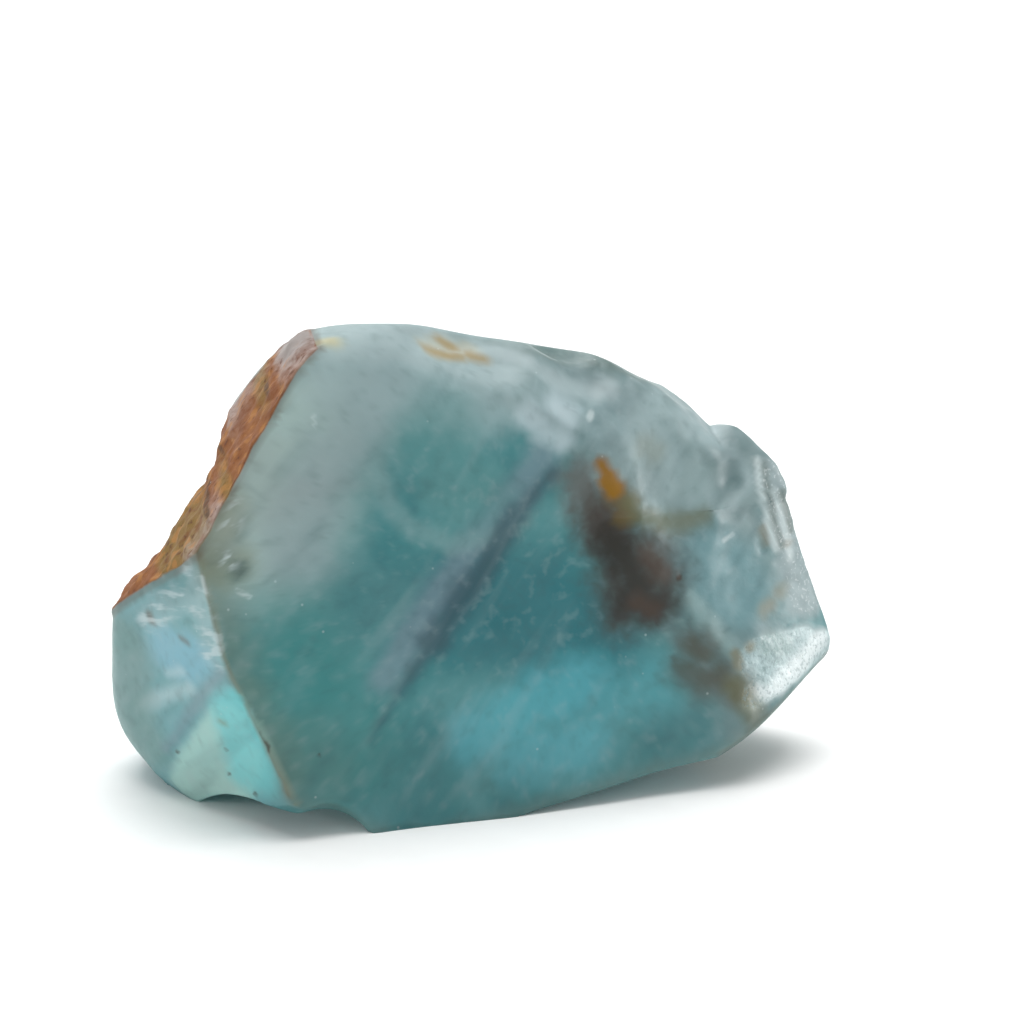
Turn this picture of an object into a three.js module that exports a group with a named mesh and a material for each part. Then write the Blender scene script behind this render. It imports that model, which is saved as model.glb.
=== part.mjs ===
// A lump of raw fluorite: one broken piece of translucent blue-green crystal, bounded by flat
// cleavage faces, worn edges and shell-shaped (conchoidal) fractures, resting on one flat face.
//
// Millimetres, +Z up. The origin is the middle of the stone's box, on the surface it rests on.
// +X runs along the stone's length, and -Y is the side with the large cleavage face.

import * as THREE from "three";
import { mergeVertices, toCreasedNormals } from "three/addons/utils/BufferGeometryUtils.js";

// ---- Driving dimensions -----------------------------------------------------------------------

const HEART = [0, 0, 13]; // a point deep inside, from which the whole surface can be seen
const SPREAD = [21, 12.5, 14]; // half the stone's length, depth and height
const SWELL = { broad: 0.16, small: 0.03 }; // how far the faces rise and sink
const BALL_DETAIL = 20; // splits of each edge of the icosahedron that is drawn onto the stone
const PASSES = 8; // rounds of settling onto faces and edges
const PULL = 0.02; // how strongly a point is held to the middle of its triangles as it settles
const BASE_SNAP = 0.1; // points lower than this belong to the face the stone rests on
const COLOUR = 0x6f9ea1;

// ---- Corners: the stone's landmarks -----------------------------------------------------------

const corner = {
  // round the large cleavage face
  frontFoot: [-5.6, -10.1, 0],
  rightFoot: [17.1, -1.5, 4.1],
  crown: [-9.1, -5.4, 27.9],
  crownRight: [8.0, -1.0, 21.3],
  crustFoot: [-15.2, -9.7, 17.6],
  cleavageHead: [-15.1, -10.0, 15.8],
  cleavageMiddle: [-13.8, -10.7, 10.4],
  cleavageFoot: [-10.1, -11.15, 2.4],
  // the left end
  crustBack: [-13.8, 1.8, 23.0],
  lobeFlank: [-21.4, -1.0, 8.3],
  lobeBend: [-18.1, -4.0, 2.2],
  lobeFoot: [-15.2, -5.8, 0],
  // along the top
  plateauLeft: [-8.2, 1.0, 28.4],
  plateauFront: [-7.0, -5.0, 28.1],
  plateauRight: [-0.8, 3.0, 27.6],
  browLeft: [-0.5, -2.9, 26.4],
  browRight: [7.2, 1.5, 23.7],
  // the broken right end
  ridgeLow: [15.8, -1.3, 7.3],
  foldTop: [17.1, 4.0, 18.0],
  foldFoot: [18.3, 2.3, 10.1],
  endMiddle: [21.3, 6.0, 10.8],
  endTip: [21.9, 4.4, 7.6],
};

// ---- Faces ------------------------------------------------------------------------------------
// A plane through three corners, or one that faces a given way past a given point.
// wear is how far, in millimetres, the edges that it makes with the faces before it are worn.

const faces = [
  { name: "large cleavage face", through: ["frontFoot", "rightFoot", "crown"], wear: 0 },
  { name: "lobe face", through: ["cleavageHead", "cleavageMiddle", "lobeFlank"], wear: 0.15 },
  { name: "lower lobe face", through: ["cleavageMiddle", "cleavageFoot", "lobeBend"], wear: 0 },
  { name: "iron-stained face", through: ["crown", "crustFoot", "crustBack"], wear: 0 },
  { name: "crown bevel", facing: [-0.65, 0.2, 0.73], past: [-11.2, 2.4, 26.3], wear: 1.5 },
  { name: "crust bevel", facing: [-0.8, 0.2, 0.56], past: [-11.9, 2.4, 25.3], wear: 1.0 },
  { name: "plateau", through: ["plateauLeft", "plateauFront", "plateauRight"], wear: 2.0 },
  { name: "brow", through: ["crownRight", "browLeft", "browRight"], wear: 2.5 },
  { name: "dark shoulder", facing: [0.32, 0.1, 0.94], past: [3.8, 5.0, 25.9], wear: 0.8 },
  { name: "right slope", facing: [0.6, 0.1, 0.8], past: [12.6, 5.0, 22.5], wear: 0.8 },
  { name: "knob", facing: [0.79, 0.05, 0.61], past: [18.2, 6.5, 19.1], wear: 1.0 },
  { name: "broken end", through: ["crownRight", "ridgeLow", "foldTop"], wear: 0.8 },
  { name: "right flank", through: ["foldTop", "foldFoot", "endMiddle"], wear: 0.5 },
  { name: "end facet", through: ["ridgeLow", "rightFoot", "endTip"], wear: 0 },
  { name: "under the end", facing: [0.55, -0.1, -0.83], past: [20.2, 3.0, 4.8], wear: 1.2 },
  { name: "under the right", facing: [0.25, -0.26, -0.93], past: [5.4, -6.2, 0.5], wear: 0 },
  { name: "left flank", facing: [-0.98, 0.1, -0.12], past: [-22.0, 0, 5.0], wear: 2.5 },
  { name: "lobe foot", facing: [-0.55, -0.05, -0.83], past: [-19.4, -2.5, 0.9], wear: 2.5 },
  { name: "under the lobe", through: ["cleavageFoot", "frontFoot", "lobeFoot"], wear: 0 },
  { name: "back cleavage face", facing: [-0.42, 0.89, 0.16], past: [-6, 10.2, 12], wear: 1.5 },
  { name: "back right face", facing: [0.46, 0.87, 0.2], past: [9, 13.0, 12], wear: 1.5 },
  { name: "back crown", facing: [-0.05, 0.66, 0.75], past: [0, 8.4, 22.3], wear: 2.0 },
  { name: "back left", facing: [-0.8, 0.58, 0.1], past: [-18.5, 5, 10], wear: 2.5 },
  { name: "back right top", facing: [0.66, 0.5, 0.56], past: [18.2, 9.7, 19.0], wear: 1.5 },
  { name: "back foot", facing: [0.05, 0.72, -0.69], past: [0, 11, 3], wear: 2.0 },
];

// ---- Ledges -----------------------------------------------------------------------------------
// Where one layer has split away: what lies beyond floor is gone, on the side that riser faces.

const ledges = [
  {
    name: "shelf across the broken end",
    floor: { facing: [0.6, -0.72, 0.355], past: [15.5, -1.3, 7.9] },
    riser: { facing: [0.4, -0.6, -0.7], past: [13.4, 1, 15.9] },
    wear: 1.2,
  },
  {
    name: "step before the knob",
    floor: { facing: [0.61, 0.1, 0.79], past: [13.8, 3.5, 20.5] },
    riser: { facing: [-0.6, -0.1, 0.78], past: [15.2, 5.5, 20.0] },
    wear: 1.0,
  },
  {
    name: "waist above the lobe",
    floor: { facing: [-0.72, 0.46, 0.53], past: [-15.6, -1.4, 19.3] },
    riser: { facing: [-0.6, 0.35, -0.72], past: [-14.7, 0, 20.2] },
    wear: 1.5,
  },
  {
    name: "step up the back",
    floor: { facing: [-0.42, 0.89, 0.16], past: [-6, 8.6, 12] },
    riser: { facing: [-0.1, 0.5, 0.86], past: [-2, 10, 15.5] },
    wear: 0.8,
  },
  {
    name: "step beside the back edge",
    floor: { facing: [0.46, 0.87, 0.13], past: [9, 11.6, 12] },
    riser: { facing: [0.9, 0.3, 0.3], past: [8.5, 11, 12] },
    wear: 0.8,
  },
];

// ---- Hollows ----------------------------------------------------------------------------------
// A shell-shaped bite: its deepest point, which way it opens, its radius and its depth.

const DOWN = [0, 0, -1];

const hollows = [
  { name: "waist bite", at: [-18.3, -1.3, 13.9], opens: [-8, 0, 6], radius: 2.8, depth: 0.5, wear: 0.6 },
  { name: "lobe arch", at: [-11.2, -7.5, 0.9], opens: DOWN, radius: 9.4, depth: 0.9, wear: 0.2 },
  { name: "foot chip", at: [-7.6, -10.4, 1.3], opens: [-1, -2.5, -4], radius: 2.6, depth: 0.7, wear: 0.6 },
  { name: "end shell", at: [12.2, 1.0, 18.4], opens: [0.5, -0.8, 0.3], radius: 8, depth: 0.7, wear: 0.8 },
  { name: "brow shell", at: [7.9, 1.6, 23.2], opens: [0.3, -0.5, 0.8], radius: 5, depth: 0.5, wear: 1.2 },
  { name: "plateau shell", at: [0.6, -0.4, 26], opens: [0.2, -0.3, 0.9], radius: 7, depth: 0.5, wear: 1.2 },
  { name: "back shell", at: [5, 11, 7], opens: [0.1, 1, -0.1], radius: 9, depth: 1.6, wear: 0.8 },
];

// ---- The stone as a distance ------------------------------------------------------------------

const AXES = [0, 1, 2];
const vector = (xyz) => new THREE.Vector3(...xyz);
const heart = vector(HEART);

function planeOf({ through, facing, past }) {
  const plane = new THREE.Plane();
  if (facing) return plane.setFromNormalAndCoplanarPoint(vector(facing).normalize(), vector(past));
  plane.setFromCoplanarPoints(...through.map((name) => vector(corner[name])));
  return plane.distanceToPoint(heart) > 0 ? plane.negate() : plane;
}

function ballOf({ at, opens, radius, depth }) {
  const centre = vector(at).addScaledVector(vector(opens).normalize(), radius - depth);
  return new THREE.Sphere(centre, radius);
}

// The larger of two distances, with the edge between them worn over the given width.
function wornEdge(a, b, wear) {
  const blend = wear > 0 ? Math.max(wear - Math.abs(a - b), 0) / wear : 0;
  return Math.max(a, b) + (blend * blend * wear) / 4;
}

// Low swells, which keep the broken faces from being dead flat.
function swell({ x, y, z }) {
  const bend = 1.3 * Math.sin(0.23 * z - 0.19 * x + 0.4);
  const broad = Math.sin(0.33 * x + 0.21 * y + bend) * Math.sin(0.29 * z - 0.26 * y + bend + 1.1);
  const small = Math.sin(0.83 * x - 0.52 * y + 2 * bend) * Math.sin(0.74 * z + 0.66 * y - bend);
  return SWELL.broad * broad + SWELL.small * small;
}

const planes = faces.map((face) => ({ plane: planeOf(face), wear: face.wear }));
const steps = ledges.map((ledge) => {
  return { floor: planeOf(ledge.floor), riser: planeOf(ledge.riser), wear: ledge.wear };
});
const bites = hollows.map((hollow) => ({ ball: ballOf(hollow), wear: hollow.wear }));
const base = planeOf({ facing: DOWN, past: [0, 0, 0] });

// How far a point is outside the stone, in millimetres near the surface; negative inside it.
function outside(point) {
  let distance = -Infinity;
  for (const { plane, wear } of planes) {
    distance = wornEdge(distance, plane.distanceToPoint(point), wear);
  }
  for (const { floor, riser, wear } of steps) {
    const removed = Math.min(floor.distanceToPoint(point), riser.distanceToPoint(point));
    distance = wornEdge(distance, removed, wear);
  }
  for (const { ball, wear } of bites) {
    distance = wornEdge(distance, -ball.distanceToPoint(point), wear);
  }
  return Math.max(distance + swell(point), base.distanceToPoint(point));
}

// The way straight out of the stone at a point on its surface.
function outward(point) {
  const step = 0.02;
  const rise = AXES.map((axis) => {
    const ahead = point.clone().setComponent(axis, point.getComponent(axis) + step);
    const behind = point.clone().setComponent(axis, point.getComponent(axis) - step);
    return outside(ahead) - outside(behind);
  });
  return vector(rise).normalize();
}

// ---- Drawing a ball of triangles onto the stone -----------------------------------------------

// Where the ray from the heart along a direction leaves the stone.
function wayOut(direction) {
  let [inner, outer] = [0, 3];
  for (let halvings = 0; halvings < 20; halvings++) {
    const middle = (inner + outer) / 2;
    if (outside(heart.clone().addScaledVector(direction, middle)) < 0) inner = middle;
    else outer = middle;
  }
  return heart.clone().addScaledVector(direction, inner);
}

// The plane that touches the stone nearest to a point.
function tangentNear(point) {
  for (let pass = 0; pass < 3; pass++) point.addScaledVector(outward(point), -outside(point));
  return { point, normal: outward(point) };
}

// The least-squares meeting point of tangent planes: on an edge, it is a point of that edge.
function meetingPoint(tangents) {
  const mean = new THREE.Vector3();
  for (const { point } of tangents) mean.addScaledVector(point, 1 / tangents.length);
  const hold = PULL * tangents.length;
  const spread = [hold, 0, 0, 0, hold, 0, 0, 0, hold];
  const lag = new THREE.Vector3();
  for (const { point, normal } of tangents) {
    const n = normal.toArray();
    for (let k = 0; k < 9; k++) spread[k] += n[Math.floor(k / 3)] * n[k % 3];
    lag.addScaledVector(normal, normal.dot(point.clone().sub(mean)));
  }
  return mean.add(lag.applyMatrix3(new THREE.Matrix3().fromArray(spread).invert()));
}

// A closed ball of joined triangles, drawn out to the surface and settled onto faces and edges.
function drawnBall() {
  const ball = new THREE.IcosahedronGeometry(1, BALL_DETAIL);
  ball.deleteAttribute("normal");
  ball.deleteAttribute("uv");
  const geometry = mergeVertices(ball);
  const position = geometry.getAttribute("position");
  const index = geometry.getIndex().array;

  const points = [];
  const trianglesAt = [];
  for (let i = 0; i < position.count; i++) {
    const direction = new THREE.Vector3().fromBufferAttribute(position, i).multiply(vector(SPREAD));
    points.push(wayOut(direction));
    trianglesAt.push([]);
  }
  index.forEach((pointIndex, i) => trianglesAt[pointIndex].push(Math.floor(i / 3)));

  for (let pass = 0; pass < PASSES; pass++) {
    const tangents = [];
    for (let i = 0; i < index.length; i += 3) {
      const middle = new THREE.Vector3();
      for (const k of AXES) middle.addScaledVector(points[index[i + k]], 1 / 3);
      tangents.push(tangentNear(middle));
    }
    points.forEach((point, i) => point.copy(meetingPoint(trianglesAt[i].map((t) => tangents[t]))));
  }
  points.forEach(({ x, y, z }, i) => position.setXYZ(i, x, y, z < BASE_SNAP ? 0 : z));
  return geometry;
}

// ---- The stone --------------------------------------------------------------------------------

function rawFluorite() {
  const geometry = drawnBall();
  geometry.computeBoundingBox();
  const middle = geometry.boundingBox.getCenter(new THREE.Vector3());
  geometry.translate(-middle.x, -middle.y, 0);
  const material = new THREE.MeshStandardMaterial({ color: COLOUR, roughness: 0.45, metalness: 0 });
  const mesh = new THREE.Mesh(toCreasedNormals(geometry, Math.PI / 6), material);
  mesh.name = "raw_fluorite";
  return mesh;
}

const stone = new THREE.Group();
stone.add(rawFluorite());
export default stone;
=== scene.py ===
"""A lump of raw blue-green fluorite, 43 mm long, resting on its one flat face.

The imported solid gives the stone's faces. This script cuts its surface finer, settles it on the same
faces, adds the small breaks, and gives it the finish of cloudy crystal with an iron-stained crust.
Lengths in the tables are millimetres. Blender's own lengths are metres.
"""

import math

import bmesh
import bpy
import numpy as np
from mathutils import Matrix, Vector


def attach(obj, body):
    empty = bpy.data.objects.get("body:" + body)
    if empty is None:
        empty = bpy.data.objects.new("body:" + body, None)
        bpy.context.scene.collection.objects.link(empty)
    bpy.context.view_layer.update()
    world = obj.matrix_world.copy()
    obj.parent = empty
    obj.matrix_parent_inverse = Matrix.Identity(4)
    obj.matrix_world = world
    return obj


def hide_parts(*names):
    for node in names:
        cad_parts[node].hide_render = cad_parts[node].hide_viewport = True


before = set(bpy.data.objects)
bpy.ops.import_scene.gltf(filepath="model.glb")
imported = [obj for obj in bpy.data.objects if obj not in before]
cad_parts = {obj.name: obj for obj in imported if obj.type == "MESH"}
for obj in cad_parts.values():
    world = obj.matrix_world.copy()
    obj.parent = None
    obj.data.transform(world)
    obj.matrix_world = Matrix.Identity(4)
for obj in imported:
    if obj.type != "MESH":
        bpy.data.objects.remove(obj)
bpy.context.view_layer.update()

MM = 0.001

# ---- The stone's faces, as in its source ---------------------------------

HEART = (0, 0, 13)
SWELL = {"broad": 0.16, "small": 0.03}

CORNERS = {
    "front foot": (-5.6, -10.1, 0),
    "right foot": (17.1, -1.5, 4.1),
    "crown": (-9.1, -5.4, 27.9),
    "crown right": (8.0, -1.0, 21.3),
    "crust foot": (-15.2, -9.7, 17.6),
    "cleavage head": (-15.1, -10.0, 15.8),
    "cleavage middle": (-13.8, -10.7, 10.4),
    "cleavage foot": (-10.1, -11.15, 2.4),
    "crust back": (-13.8, 1.8, 23.0),
    "lobe flank": (-21.4, -1.0, 8.3),
    "lobe bend": (-18.1, -4.0, 2.2),
    "lobe foot": (-15.2, -5.8, 0),
    "plateau left": (-8.2, 1.0, 28.4),
    "plateau front": (-7.0, -5.0, 28.1),
    "plateau right": (-0.8, 3.0, 27.6),
    "brow left": (-0.5, -2.9, 26.4),
    "brow right": (7.2, 1.5, 23.7),
    "ridge low": (15.8, -1.3, 7.3),
    "fold top": (17.1, 4.0, 18.0),
    "fold foot": (18.3, 2.3, 10.1),
    "end middle": (21.3, 6.0, 10.8),
    "end tip": (21.9, 4.4, 7.6),
}

# Each face: the corners it goes through, or the way it faces and a point it passes, then the wear.
FACES = {
    "large cleavage face": (("front foot", "right foot", "crown"), 0),
    "lobe face": (("cleavage head", "cleavage middle", "lobe flank"), 0.15),
    "lower lobe face": (("cleavage middle", "cleavage foot", "lobe bend"), 0),
    "iron-stained face": (("crown", "crust foot", "crust back"), 0),
    "crown bevel": ((-0.65, 0.2, 0.73), (-11.2, 2.4, 26.3), 1.5),
    "crust bevel": ((-0.8, 0.2, 0.56), (-11.9, 2.4, 25.3), 1.0),
    "plateau": (("plateau left", "plateau front", "plateau right"), 2.0),
    "brow": (("crown right", "brow left", "brow right"), 2.5),
    "dark shoulder": ((0.32, 0.1, 0.94), (3.8, 5.0, 25.9), 0.8),
    "right slope": ((0.6, 0.1, 0.8), (12.6, 5.0, 22.5), 0.8),
    "knob": ((0.79, 0.05, 0.61), (18.2, 6.5, 19.1), 1.0),
    "broken end": (("crown right", "ridge low", "fold top"), 0.8),
    "right flank": (("fold top", "fold foot", "end middle"), 0.5),
    "end facet": (("ridge low", "right foot", "end tip"), 0),
    "under the end": ((0.55, -0.1, -0.83), (20.2, 3.0, 4.8), 1.2),
    "under the right": ((0.25, -0.26, -0.93), (5.4, -6.2, 0.5), 0),
    "left flank": ((-0.98, 0.1, -0.12), (-22.0, 0, 5.0), 2.5),
    "lobe foot": ((-0.55, -0.05, -0.83), (-19.4, -2.5, 0.9), 2.5),
    "under the lobe": (("cleavage foot", "front foot", "lobe foot"), 0),
    "back cleavage face": ((-0.42, 0.89, 0.16), (-6, 10.2, 12), 1.5),
    "back right face": ((0.46, 0.87, 0.2), (9, 13.0, 12), 1.5),
    "back crown": ((-0.05, 0.66, 0.75), (0, 8.4, 22.3), 2.0),
    "back left": ((-0.8, 0.58, 0.1), (-18.5, 5, 10), 2.5),
    "back right top": ((0.66, 0.5, 0.56), (18.2, 9.7, 19.0), 1.5),
    "back foot": ((0.05, 0.72, -0.69), (0, 11, 3), 2.0),
}

# Where one layer has split away: its floor, its riser, and the wear between them.
LEDGES = {
    "shelf across the broken end": (
        ((0.6, -0.72, 0.355), (15.5, -1.3, 7.9)), ((0.4, -0.6, -0.7), (13.4, 1, 15.9)), 1.2),
    "step before the knob": (
        ((0.61, 0.1, 0.79), (13.8, 3.5, 20.5)), ((-0.6, -0.1, 0.78), (15.2, 5.5, 20.0)), 1.0),
    "waist above the lobe": (
        ((-0.72, 0.46, 0.53), (-15.6, -1.4, 19.3)), ((-0.6, 0.35, -0.72), (-14.7, 0, 20.2)), 1.5),
    "step up the back": (
        ((-0.42, 0.89, 0.16), (-6, 8.6, 12)), ((-0.1, 0.5, 0.86), (-2, 10, 15.5)), 0.8),
    "step beside the back edge": (
        ((0.46, 0.87, 0.13), (9, 11.6, 12)), ((0.9, 0.3, 0.3), (8.5, 11, 12)), 0.8),
}

# A shell-shaped bite: its deepest point, the way it opens, its radius, its depth and the wear.
HOLLOWS = {
    "waist bite": ((-18.3, -1.3, 13.9), (-8, 0, 6), 2.8, 0.5, 0.6),
    "lobe arch": ((-11.2, -7.5, 0.9), (0, 0, -1), 9.4, 0.9, 0.2),
    "foot chip": ((-7.6, -10.4, 1.3), (-1, -2.5, -4), 2.6, 0.7, 0.6),
    "end shell": ((12.2, 1.0, 18.4), (0.5, -0.8, 0.3), 8, 0.7, 0.8),
    "brow shell": ((7.9, 1.6, 23.2), (0.3, -0.5, 0.8), 5, 0.5, 1.2),
    "plateau shell": ((0.6, -0.4, 26), (0.2, -0.3, 0.9), 7, 0.5, 1.2),
    "back shell": ((5, 11, 7), (0.1, 1, -0.1), 9, 1.6, 0.8),
}

# ---- Small breaks that only this model has -------------------------------

SMALL_HOLLOWS = {
    "brow scoop": ((5.4, -1.4, 23.4), (0.1, -0.6, 0.8), 4.0, 0.25, 0.3),
    "slope scoop": ((11.0, 1.6, 21.6), (0.5, -0.5, 0.7), 3.6, 0.35, 0.2),
    "slope dimple": ((13.4, 3.2, 20.3), (0.5, -0.5, 0.7), 2.4, 0.35, 0.2),
    "end scoop": ((10.6, -0.4, 18.6), (0.5, -0.8, 0.35), 4.5, 0.25, 0.2),
    "end dimple": ((15.4, 2.8, 17.6), (0.6, -0.7, 0.35), 2.6, 0.3, 0.15),
    "low scoop": ((14.2, -0.4, 12.6), (0.6, -0.72, 0.3), 5.0, 0.25, 0.2),
    "low dimple": ((16.4, 0.9, 11.0), (0.6, -0.7, 0.3), 2.4, 0.2, 0.15),
    "shoulder scoop": ((5.6, 4.2, 25.0), (0.3, -0.1, 0.9), 5.0, 0.3, 0.3),
    "knob scoop": ((16.3, 4.2, 19.3), (0.5, -0.7, 0.4), 2.2, 0.3, 0.15),
    "end chip": ((15.9, -0.9, 8.2), (0.5, -0.8, 0.2), 1.3, 0.3, 0.1),
    "lobe scoop": ((-18.6, -5.4, 9.4), (-0.7, -0.6, 0), 6.0, 0.2, 0.3),
}

# Narrow flutes: the ends of each one's deepest line, its radius and its wear.
FLUTES = {
    "long flute": ((17.3, 3.2, 17.6), (17.6, 2.9, 13.2), 0.5, 0.2),
    "short flute": ((18.3, 3.9, 16.0), (18.6, 3.2, 12.2), 0.4, 0.2),
    "slope groove": ((12.9, 2.6, 21.4), (14.0, 2.4, 18.6), 0.35, 0.4),
}

# Nicks at random places along these edges.
NICK_EDGES = {
    "sharp front edge": ("cleavage head", "cleavage middle", "cleavage foot"),
    "ridge of the end": ("crown right", "ridge low"),
}
NICKS = 18
NICK_RADIUS = (0.4, 0.9)
NICK_DEPTH = (0.04, 0.1)
NICK_WEAR = 0.05
NICK_PLACE = (0.02, 0.98)
NICK_TURN = 0.25
SEED = 7

# ---- The stone as a distance ---------------------------------------------


def unit(direction):
    return np.asarray(direction, float) / np.linalg.norm(direction)


def plane_of(face):
    """A plane as its outward direction and its offset along it."""
    if isinstance(face[0], str):
        a, b, c = (np.array(CORNERS[name], float) for name in face)
        normal = unit(np.cross(b - a, c - a))
        normal *= -np.sign(np.dot(HEART - a, normal))
        return normal, np.dot(normal, a)
    facing, past = face
    return unit(facing), np.dot(unit(facing), past)


def worn_edge(a, b, wear):
    """The larger of two distances, with the edge between them worn over the given width."""
    if wear <= 0:
        return np.maximum(a, b)
    blend = np.maximum(wear - np.abs(a - b), 0)
    return np.maximum(a, b) + blend * blend * (0.25 / wear)


def swell(points):
    x, y, z = points.T
    bend = 1.3 * np.sin(0.23 * z - 0.19 * x + 0.4)
    broad = np.sin(0.33 * x + 0.21 * y + bend) * np.sin(0.29 * z - 0.26 * y + bend + 1.1)
    small = np.sin(0.83 * x - 0.52 * y + 2 * bend) * np.sin(0.74 * z + 0.66 * y - bend)
    return SWELL["broad"] * broad + SWELL["small"] * small


def from_line(points, start, end):
    """How far each point is from the straight line between two ends."""
    start, end = np.asarray(start, float), np.asarray(end, float)
    along = end - start
    share = np.clip((points - start) @ along / max(along @ along, 1e-9), 0, 1)
    return np.linalg.norm(points - start - share[:, None] * along, axis=1)


def nick_table():
    """Small bites at random places along the worn edges."""
    rng = np.random.default_rng(SEED)
    edges = [(CORNERS[a], CORNERS[b]) for names in NICK_EDGES.values() for a, b in zip(names, names[1:])]
    lengths = np.array([np.linalg.norm(np.subtract(b, a)) for a, b in edges])
    nicks = []
    for _ in range(NICKS):
        start, end = edges[rng.choice(len(edges), p=lengths / lengths.sum())]
        place = np.array(start) + rng.uniform(*NICK_PLACE) * np.subtract(end, start)
        opens = unit(place - HEART) + rng.normal(0, NICK_TURN, 3)
        nicks.append((place, opens, rng.uniform(*NICK_RADIUS), rng.uniform(*NICK_DEPTH), NICK_WEAR))
    return nicks


PLANES = {name: plane_of(face[:-1] if len(face) == 3 else face[0]) for name, face in FACES.items()}
NORMALS = np.array([normal for normal, _ in PLANES.values()])
OFFSETS = np.array([[offset] for _, offset in PLANES.values()])
WEARS = [face[-1] for face in FACES.values()]
STEPS = [(plane_of(floor), plane_of(riser), wear) for floor, riser, wear in LEDGES.values()]
BITES = [*HOLLOWS.values(), *SMALL_HOLLOWS.values(), *nick_table()]
CENTRES = np.array(
    [np.asarray(at) + unit(opens) * (radius - depth) for at, opens, radius, depth, _ in BITES])
DEEP_INSIDE = -1e3
BATCH = 4000
PROBE = 0.02
TETRAHEDRON = PROBE * np.array([(1, 1, 1), (1, -1, -1), (-1, 1, -1), (-1, -1, 1)])


def outside_few(points):
    """How far a few thousand points are outside the stone, near its surface; negative inside it."""
    distance = np.full(len(points), DEEP_INSIDE)
    for height, wear in zip(NORMALS @ points.T - OFFSETS, WEARS):
        distance = worn_edge(distance, height, wear)
    for floor, riser, wear in STEPS:
        removed = np.minimum(points @ floor[0] - floor[1], points @ riser[0] - riser[1])
        distance = worn_edge(distance, removed, wear)
    square = (points * points).sum(axis=1) - 2 * CENTRES @ points.T + (CENTRES**2).sum(axis=1)[:, None]
    for (_, _, radius, _, wear), reach in zip(BITES, np.sqrt(np.maximum(square, 0))):
        distance = worn_edge(distance, radius - reach, wear)
    for start, end, radius, wear in FLUTES.values():
        distance = worn_edge(distance, radius - from_line(points, start, end), wear)
    return np.maximum(distance + swell(points), -points[:, 2])


def outside(points):
    parts = np.array_split(points, len(points) // BATCH + 1)
    return np.concatenate([outside_few(part) for part in parts])


def skin_at(points):
    """How far points are outside the stone, and the way straight out of it there."""
    around = np.array([outside(points + side) for side in TETRAHEDRON])
    slope = around.T @ TETRAHEDRON
    return around.mean(axis=0)[:, None], slope / np.linalg.norm(slope, axis=1, keepdims=True)


# ---- The fine mesh -------------------------------------------------------

# How often the mesh is cut and settled, how firmly its points keep their places, the height below
# which they rest on the floor, and how the level move is found.
CUTS = 2
PASSES = 5
PULL = 0.03
BASE_SNAP = 0.1
JOINED_WITHIN = 0.02
LEVEL_PASSES = 4
LEVEL_EVERY = 20


def level_move(points):
    """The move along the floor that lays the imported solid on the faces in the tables."""
    move = np.zeros(3)
    for _ in range(LEVEL_PASSES):
        distance, normal = skin_at(points + move)
        move[:2] -= np.linalg.lstsq(normal[:, :2], distance[:, 0], rcond=None)[0]
    return move


def settled(points, triangles):
    """Moves each point to the least-squares meeting point of the surfaces round it."""
    count = len(points)
    corners = triangles.ravel()
    share = np.bincount(corners, minlength=count)[:, None]

    def gathered(values):
        spread = np.repeat(values, 3, axis=0)
        return np.stack([np.bincount(corners, column, count) for column in spread.T], axis=1)

    for _ in range(PASSES):
        middle = points[triangles].mean(axis=1)
        distance, normal = skin_at(middle)
        middle = middle - distance * normal
        distance, normal = skin_at(middle)
        middle = middle - distance * normal
        mean = gathered(middle) / share
        square = gathered((normal[:, :, None] * normal[:, None, :]).reshape(-1, 9)).reshape(-1, 3, 3)
        reach = (normal * middle).sum(axis=1, keepdims=True)
        lag = gathered(normal * reach) - np.einsum("nij,nj->ni", square, mean)
        hold = PULL * share[:, :, None] * np.eye(3)
        points = mean + np.linalg.solve(square + hold, lag[:, :, None])[:, :, 0]
    points[points[:, 2] < BASE_SNAP, 2] = 0
    return points


def fine_mesh(node):
    """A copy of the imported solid, joined, cut finer and settled. Returns it and its level move."""
    form = bmesh.new()
    form.from_mesh(node.data)
    bmesh.ops.remove_doubles(form, verts=form.verts, dist=JOINED_WITHIN * MM)
    for _ in range(CUTS):
        bmesh.ops.subdivide_edges(form, edges=form.edges, cuts=1, use_grid_fill=True)
    bmesh.ops.triangulate(form, faces=form.faces)
    mesh = bpy.data.meshes.new("raw fluorite stone")
    form.to_mesh(mesh)
    form.free()

    points = np.zeros(len(mesh.vertices) * 3)
    mesh.vertices.foreach_get("co", points)
    points = points.reshape(-1, 3) / MM
    triangles = np.zeros(len(mesh.polygons) * 3, int)
    mesh.polygons.foreach_get("vertices", triangles)
    move = level_move(points[::LEVEL_EVERY])
    points = settled(points + move, triangles.reshape(-1, 3))
    mesh.vertices.foreach_set("co", ((points - move) * MM).ravel())
    mesh.update()
    return mesh, move


# ---- Colour marks --------------------------------------------------------
# Face marks tint whole surfaces. Cloud marks are the soft clouds and the vein in the crystal, together
# with
# painted light and shade: painted light from below low on the cleavage face and in the lobe, painted
# highlights on the slope, and painted highlights and painted shade along the flutes. Stain marks are iron
# stains and dirt with ragged borders, together with painted shade beside the crust and along the lower
# edge of the end facet. Crisp marks are the small sharp ones.
# faces: the mark covers those faces, and grow widens it. between: it runs along the edge between two
# groups of faces. front and back: strokes laid across that side as (along, up). top: strokes across
# the top as (along, back). A stroke is its half width and its points. within: the mark stays on those
# faces. fade: how many millimetres its border takes. Later marks lie over earlier ones.

CLEAVAGE = ("large cleavage face",)
LOBE_FACES = ("lobe face", "lower lobe face", "left flank")
CRUST_FACES = ("iron-stained face",)
RIM_FACES = ("crust bevel", "crown bevel")
BROKEN_FACES = ("brow", "right slope", "broken end", "knob")
BOTTOM_FACES = ("under the right", "under the lobe", "under the end")

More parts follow.
